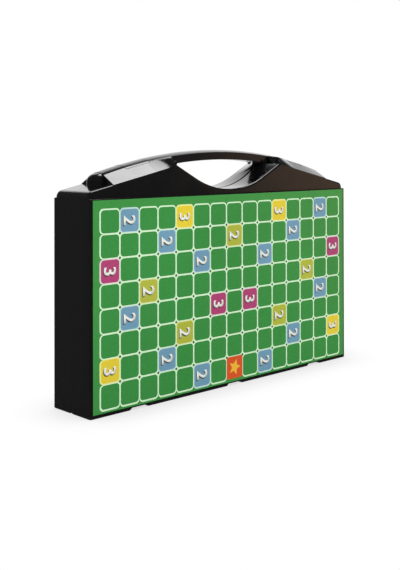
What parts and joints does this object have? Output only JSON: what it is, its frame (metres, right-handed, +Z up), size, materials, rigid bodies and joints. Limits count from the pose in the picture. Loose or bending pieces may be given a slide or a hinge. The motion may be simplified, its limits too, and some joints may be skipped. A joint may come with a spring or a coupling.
{
  "type": "travel word tile game case",
  "caption": "Folding carry case with a handle; both outer faces are halves of a squared board, and the inside holds tiles and racks.",
  "frame": {"origin": "middle of the closed case's base", "axes": "+X along the case, -Y out of the front board, +Z up through the handle"},
  "size_m": [0.3506, 0.0572, 0.2352],
  "materials": {
    "shell": "polished moulded black",
    "board_print": "printed laminated sheet",
    "hinge_link": "moulded black",
    "pin": "drawn wire",
    "latch": "polished moulded black",
    "tray": "satin dark grey",
    "screw": "zinc plated",
    "tile": "satin ivory",
    "rack": "satin green"
  },
  "bodies": {
    "front_half": {"front_shell": "shell", "front_board_sheet": "board_print", "front_hinge_pins": "pin", "rack_comb_left": "tray", "rack_comb_right": "tray", "comb_screws": "screw", "tile_rack_1": "rack", "tile_rack_2": "rack", "tile_rack_3": "rack", "tile_rack_4": "rack"},
    "hinge_links": {"hinge_link_left": "hinge_link", "hinge_link_middle": "hinge_link", "hinge_link_right": "hinge_link"},
    "rear_half": {"rear_shell": "shell", "rear_board_sheet": "board_print", "rear_hinge_pins": "pin", "latch_pin_left": "pin", "latch_pin_right": "pin", "tile_tray": "tray", "tray_screws": "screw", "letter_tiles_1": "tile", "letter_tiles_2": "tile"},
    "latch_left": {"latch_left": "latch"},
    "latch_right": {"latch_right": "latch"}
  },
  "joints": [
    {"name": "front_hinge", "type": "hinge", "parent": "front_half", "child": "hinge_links", "pos_m": [0, -0.0032, 0.003], "axis": [-1, 0, 0], "range_deg": [0, 90]},
    {"name": "rear_hinge", "type": "hinge", "parent": "hinge_links", "child": "rear_half", "pos_m": [0, 0.0032, 0.003], "axis": [-1, 0, 0], "range_deg": [0, 90]},
    {"name": "latch_left_turn", "type": "hinge", "parent": "rear_half", "child": "latch_left", "pos_m": [-0.10863, 0.0066, 0.21967], "axis": [-0.9785, 0, -0.2064], "range_deg": [0, 90]},
    {"name": "latch_right_turn", "type": "hinge", "parent": "rear_half", "child": "latch_right", "pos_m": [0.10863, 0.0066, 0.21967], "axis": [-0.9785, 0, 0.2064], "range_deg": [0, 90]}
  ],
  "couplings": [
    {"joint": "rear_hinge", "follows": "front_hinge", "ratio": 1}
  ]
}
